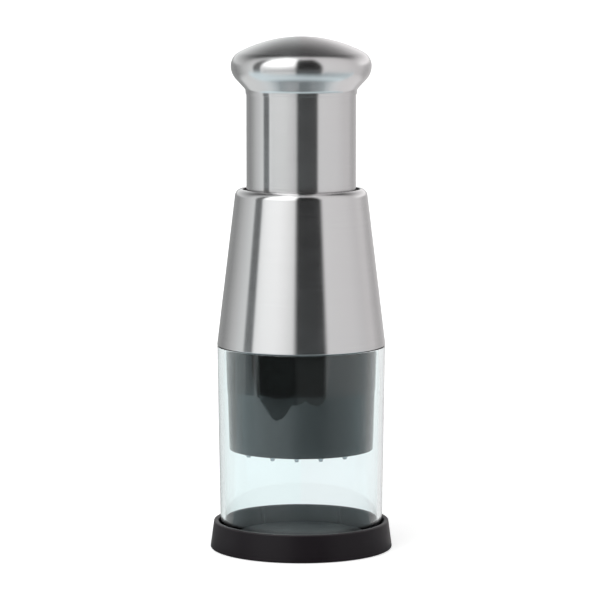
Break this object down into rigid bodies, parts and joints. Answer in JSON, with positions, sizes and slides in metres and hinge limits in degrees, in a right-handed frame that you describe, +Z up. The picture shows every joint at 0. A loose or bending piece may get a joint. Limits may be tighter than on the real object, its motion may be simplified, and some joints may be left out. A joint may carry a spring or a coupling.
{
  "type": "vegetable dicer",
  "caption": "Hand-pressed vegetable chopper: a spring-return plunger drives a zigzag blade down a clear cup that stands in a round base.",
  "frame": {"origin": "centre of the base, on the surface that it stands on", "axes": "+Z up along the plunger; the object is round about Z"},
  "size_m": [0.0886, 0.0886, 0.2487],
  "materials": {
    "black_plastic": "satin gloss moulding",
    "disc_plastic": "matt moulding",
    "soft_rubber": "matt",
    "clear_plastic": "clear, faint green tint",
    "brushed_stainless": "brushed round the axis",
    "inner_plastic": "moulded, inside",
    "acetal": "white low-friction moulding",
    "plated_steel": "zinc plated",
    "spring_steel": "drawn wire",
    "blade_steel": "ground edge",
    "black_sleeve": "gloss moulding"
  },
  "bodies": {
    "base": {"base_cap": "black_plastic", "cutting_disc": "disc_plastic", "foot_ring": "soft_rubber"},
    "cup": {"cup": "clear_plastic"},
    "housing": {"housing_shell": "brushed_stainless", "housing_liner": "inner_plastic", "guide_bushing": "inner_plastic", "cam_tube": "acetal", "cam_screws": "plated_steel", "bumper_ring": "soft_rubber", "cup_gasket": "soft_rubber", "sleeve_retainer": "inner_plastic", "retainer_screws": "plated_steel", "return_spring": "spring_steel"},
    "handle": {"handle_cap": "brushed_stainless", "handle_tube": "brushed_stainless", "handle_core": "inner_plastic", "plunger_shaft": "plated_steel", "shaft_washer": "plated_steel", "shaft_nut": "plated_steel", "stop_ring": "inner_plastic", "shaft_circlip": "spring_steel", "thrust_washer": "acetal"},
    "driver": {"driver_stem": "acetal", "driver_pegs": "plated_steel"},
    "blades": {"blade_hub": "inner_plastic", "blade_strip": "blade_steel", "pawl_springs": "spring_steel", "ratchet_cover": "inner_plastic", "cover_screws": "plated_steel"},
    "sleeve": {"sleeve": "black_sleeve", "scraper_plate": "black_sleeve"}
  },
  "joints": [
    {"name": "cup_lift", "type": "slide", "parent": "base", "child": "cup", "axis": [0, 0, 1], "range_m": [0, 0.05]},
    {"name": "housing_lift", "type": "slide", "parent": "cup", "child": "housing", "axis": [0, 0, 1], "range_m": [0, 0.075]},
    {"name": "handle_press", "type": "slide", "parent": "housing", "child": "handle", "axis": [0, 0, -1], "range_m": [0, 0.0405], "stiffness_N_per_m": 300, "springref_m": -0.0267, "deforming": ["return_spring"]},
    {"name": "driver_turn", "type": "hinge", "parent": "handle", "child": "driver", "pos_m": [0, 0, 0.15], "axis": [0, 0, 1], "range_deg": [0, 30.1]},
    {"name": "blade_index", "type": "hinge", "parent": "driver", "child": "blades", "pos_m": [0, 0, 0.1], "axis": [0, 0, 1], "continuous": true},
    {"name": "sleeve_slide", "type": "slide", "parent": "blades", "child": "sleeve", "axis": [0, 0, 1], "range_m": [0, 0.0406]}
  ],
  "couplings": [
    {"joint": "driver_turn", "follows": "handle_press", "rad_per_m": 12.928},
    {"joint": "sleeve_slide", "follows": "handle_press", "ratio": 1}
  ]
}
